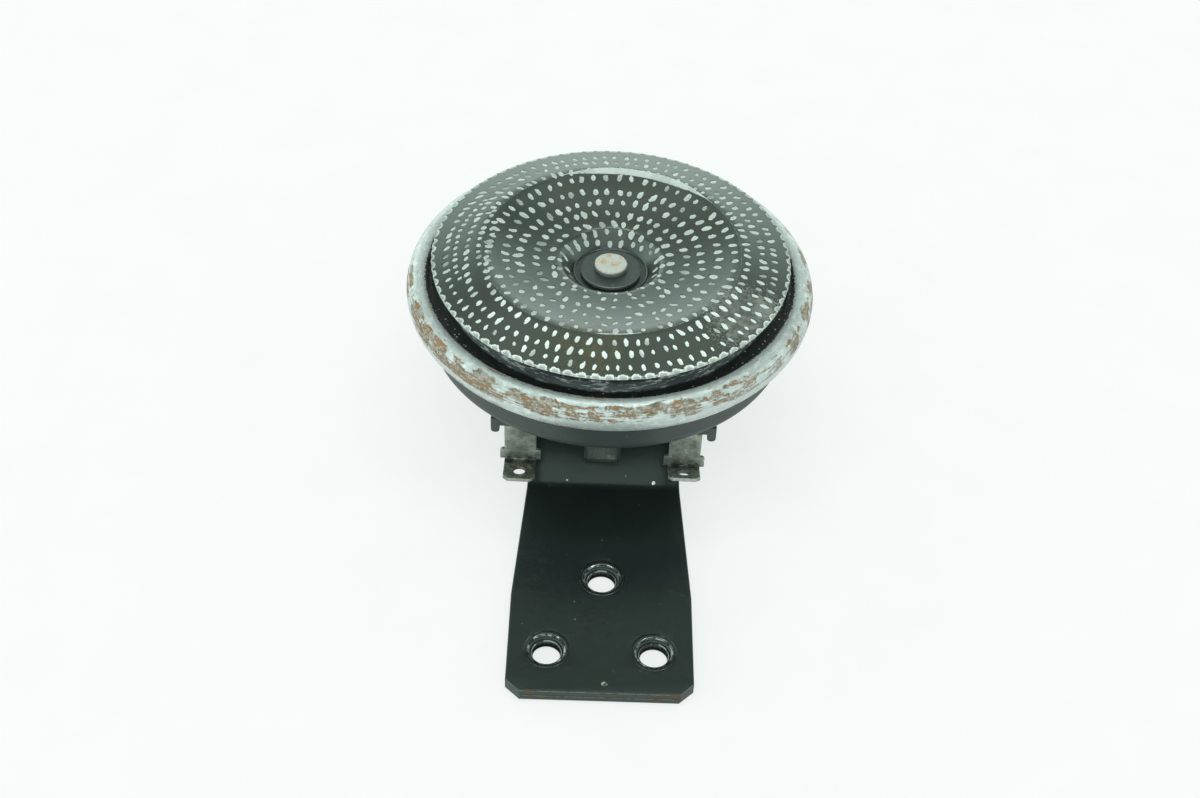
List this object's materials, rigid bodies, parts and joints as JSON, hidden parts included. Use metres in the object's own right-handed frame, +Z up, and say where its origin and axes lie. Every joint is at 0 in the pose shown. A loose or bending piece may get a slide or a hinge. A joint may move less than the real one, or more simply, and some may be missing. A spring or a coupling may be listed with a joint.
{
  "type": "electric disc horn",
  "caption": "Round electric vehicle horn with a dished, dented tone disc over a crimped steel cup, two spade terminals and a joggled laminated mounting bracket with threaded holes.",
  "frame": {"origin": "centre of the bracket's middle threaded hole, at the bracket's underside, which is also the surface the horn lies on", "axes": "+Z up out of the tone disc, along the horn's axis; the bracket's bolted end points along -Y and the horn's axis stands at y = 53 mm; +X to the right seen from the bracket's free end"},
  "size_m": [0.082, 0.1206, 0.0415],
  "materials": {
    "black_paint": "black semi-gloss paint on steel",
    "slate_paint": "satin dark slate paint on drawn steel",
    "olive_paint": "dark olive-grey paint, worn through to bare steel at every dent",
    "zinc_steel": "zinc-plated steel, worn and rust-streaked where it shows",
    "dark_spring_steel": "blackened spring steel",
    "gasket_rubber": "black sealing ring",
    "tinned_brass": "tinned brass, dull and dirty",
    "copper": "copper and copper alloy",
    "contact_metal": "hard contact metal",
    "black_plastic": "dark moulded plastic",
    "phenolic": "brown laminated board",
    "ceramic": "unglazed ceramic body"
  },
  "bodies": {
    "horn": {"bracket_upper": "black_paint", "bracket_lower": "black_paint", "spring_washer": "zinc_steel", "stud_nut": "zinc_steel", "housing": "slate_paint", "crimp_ring": "zinc_steel", "diaphragm": "dark_spring_steel", "gasket_lower": "gasket_rubber", "gasket_upper": "gasket_rubber", "core_stud": "zinc_steel", "coil_bobbin": "black_plastic", "coil_winding": "copper", "pole_plate": "zinc_steel", "pole_plate_rivets": "zinc_steel", "insulator_lower": "phenolic", "insulator_upper": "phenolic", "contact_spring": "copper", "fixed_arm": "tinned_brass", "moving_contact": "contact_metal", "fixed_contact": "contact_metal", "breaker_rivet": "zinc_steel", "adjusting_screw": "tinned_brass", "terminal_block": "black_plastic", "terminal_left": "tinned_brass", "terminal_right": "tinned_brass", "terminal_rivets": "tinned_brass", "block_rivets": "zinc_steel", "coil_lead_start": "copper", "coil_lead_end": "copper", "breaker_lead": "copper", "resistor": "ceramic", "resistor_wires": "copper"},
    "vibrator": {"armature": "zinc_steel", "back_washer": "zinc_steel", "front_washer": "dark_spring_steel", "tone_disc": "olive_paint"}
  },
  "joints": [
    {"name": "vibrator_slide", "type": "slide", "parent": "horn", "child": "vibrator", "axis": [0, 0, 1], "range_m": [-0.0006, 0.0004], "stiffness_N_per_m": 5000, "springref_m": 0.0001, "deforming": ["diaphragm", "contact_spring", "moving_contact"]}
  ]
}
